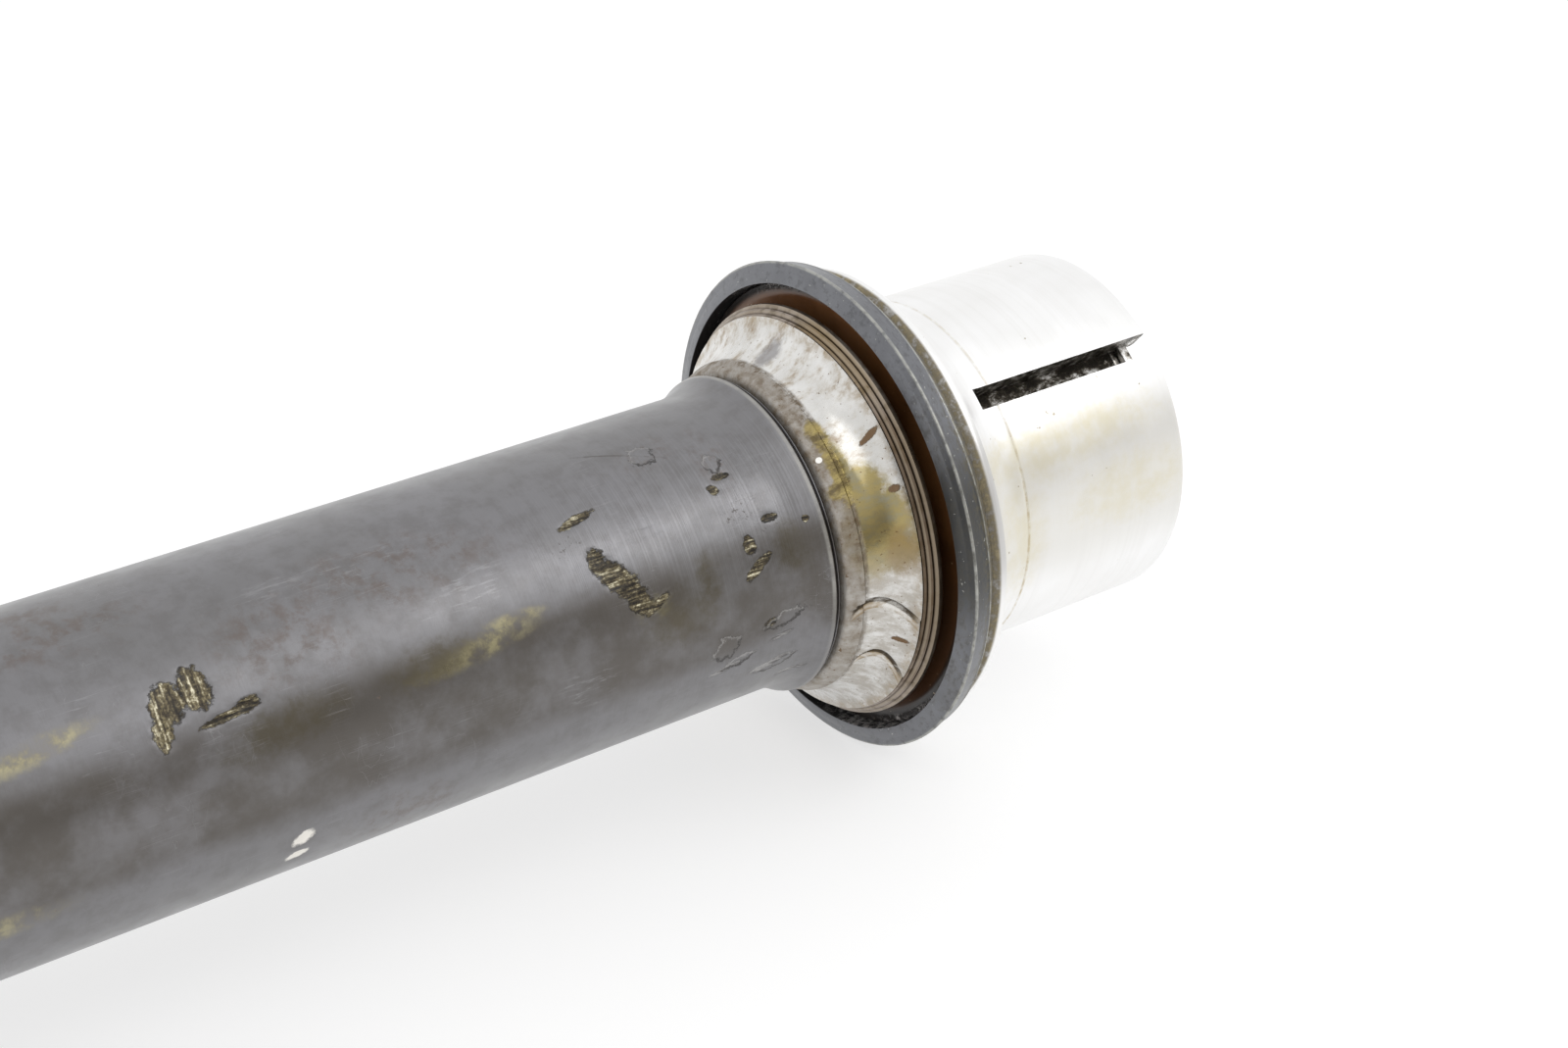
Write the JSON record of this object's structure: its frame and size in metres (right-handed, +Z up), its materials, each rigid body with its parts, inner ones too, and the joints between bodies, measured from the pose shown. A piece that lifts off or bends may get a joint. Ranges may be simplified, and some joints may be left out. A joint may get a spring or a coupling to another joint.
{
  "type": "linear ball bushing",
  "caption": "Flanged slotted sleeve with a caged ball guide inside, a lip seal at its front, and a round shaft with a bearing inner ring that slides and turns in it.",
  "frame": {"origin": "centre of the whole part's box, on the axis of the shaft", "axes": "+X along the axis towards the slotted end of the sleeve, +Z up, the slot on the -Y side above the axis"},
  "size_m": [0.1844, 0.0524, 0.0524],
  "materials": {
    "shaft_steel": "blackened and oily, with rust specks and gouges",
    "race_steel": "ground and oily, with yellow-brown stains",
    "rim_steel": "turned, with a tan bloom",
    "seal_black": "satin black",
    "lip_brown": "glossy, oil-soaked brown",
    "sleeve_steel": "bright and fine turned, with light stains",
    "ground_steel": "ground",
    "spring_steel": "drawn and oiled",
    "cage_brass": "machined"
  },
  "bodies": {
    "bushing": {"outer_sleeve": "sleeve_steel", "seal_ring": "seal_black", "seal_lip": "lip_brown", "garter_spring": "spring_steel", "raceway_liner": "ground_steel", "front_stop_washer": "ground_steel", "rear_stop_washer": "ground_steel", "retaining_ring": "spring_steel"},
    "washer": {"thrust_washer": "rim_steel"},
    "shaft": {"shaft_tube": "shaft_steel", "guide_spindle": "ground_steel", "bearing_inner_ring": "race_steel"},
    "cage": {"ball_cage": "cage_brass", "ball_row1_1": "ground_steel", "ball_row1_2": "ground_steel", "ball_row1_3": "ground_steel", "ball_row1_4": "ground_steel", "ball_row1_5": "ground_steel", "ball_row1_6": "ground_steel", "ball_row1_7": "ground_steel", "ball_row1_8": "ground_steel", "ball_row2_1": "ground_steel", "ball_row2_2": "ground_steel", "ball_row2_3": "ground_steel", "ball_row2_4": "ground_steel", "ball_row2_5": "ground_steel", "ball_row2_6": "ground_steel", "ball_row2_7": "ground_steel", "ball_row2_8": "ground_steel", "ball_row3_1": "ground_steel", "ball_row3_2": "ground_steel", "ball_row3_3": "ground_steel", "ball_row3_4": "ground_steel", "ball_row3_5": "ground_steel", "ball_row3_6": "ground_steel", "ball_row3_7": "ground_steel", "ball_row3_8": "ground_steel", "ball_row4_1": "ground_steel", "ball_row4_2": "ground_steel", "ball_row4_3": "ground_steel", "ball_row4_4": "ground_steel", "ball_row4_5": "ground_steel", "ball_row4_6": "ground_steel", "ball_row4_7": "ground_steel", "ball_row4_8": "ground_steel"}
  },
  "joints": [
    {"name": "shaft_slide", "type": "slide", "parent": "bushing", "child": "washer", "axis": [-1, 0, 0], "range_m": [0, 0.012]},
    {"name": "shaft_spin", "type": "hinge", "parent": "washer", "child": "shaft", "pos_m": [0, 0, 0], "axis": [1, 0, 0], "continuous": true},
    {"name": "cage_slide", "type": "slide", "parent": "bushing", "child": "cage", "axis": [-1, 0, 0], "range_m": [0, 0.006]}
  ],
  "couplings": [
    {"joint": "cage_slide", "follows": "shaft_slide", "ratio": 0.5}
  ]
}
